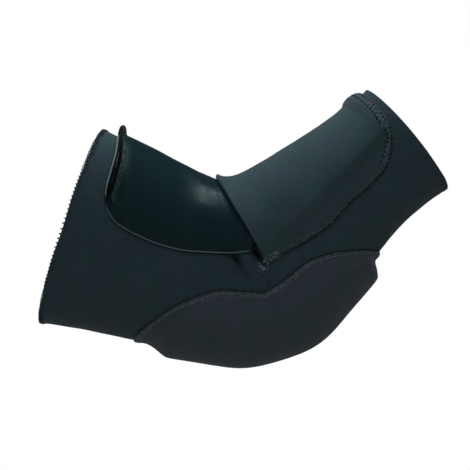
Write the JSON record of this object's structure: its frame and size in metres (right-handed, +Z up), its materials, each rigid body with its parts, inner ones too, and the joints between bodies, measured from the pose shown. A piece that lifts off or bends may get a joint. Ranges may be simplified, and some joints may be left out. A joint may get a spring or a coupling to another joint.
{
  "type": "elbow brace",
  "caption": "Pull-on neoprene elbow sleeve shaped for a bent arm, with a padded elbow and a rigid flared stay held in a forearm pocket at the crook.",
  "frame": {"origin": "the point of the elbow, where the axes of the upper arm and of the forearm meet, inside the sleeve", "axes": "the limbs' axes lie in the XZ plane; +X towards the forearm side, +Z up, +Y across the arm"},
  "size_m": [0.267, 0.1078, 0.1836],
  "materials": {
    "neoprene": "matt knit-faced neoprene, greenish black",
    "pad_fabric": "brushed napped fabric, purplish black",
    "pocket_neoprene": "matt knit-faced neoprene, greenish black",
    "stay_plastic": "glossy black thermoplastic"
  },
  "bodies": {
    "root": {"upper_sleeve": "neoprene", "forearm_sleeve": "neoprene", "elbow_pad": "pad_fabric", "stay_pocket": "pocket_neoprene", "stay": "stay_plastic"}
  },
  "joints": []
}
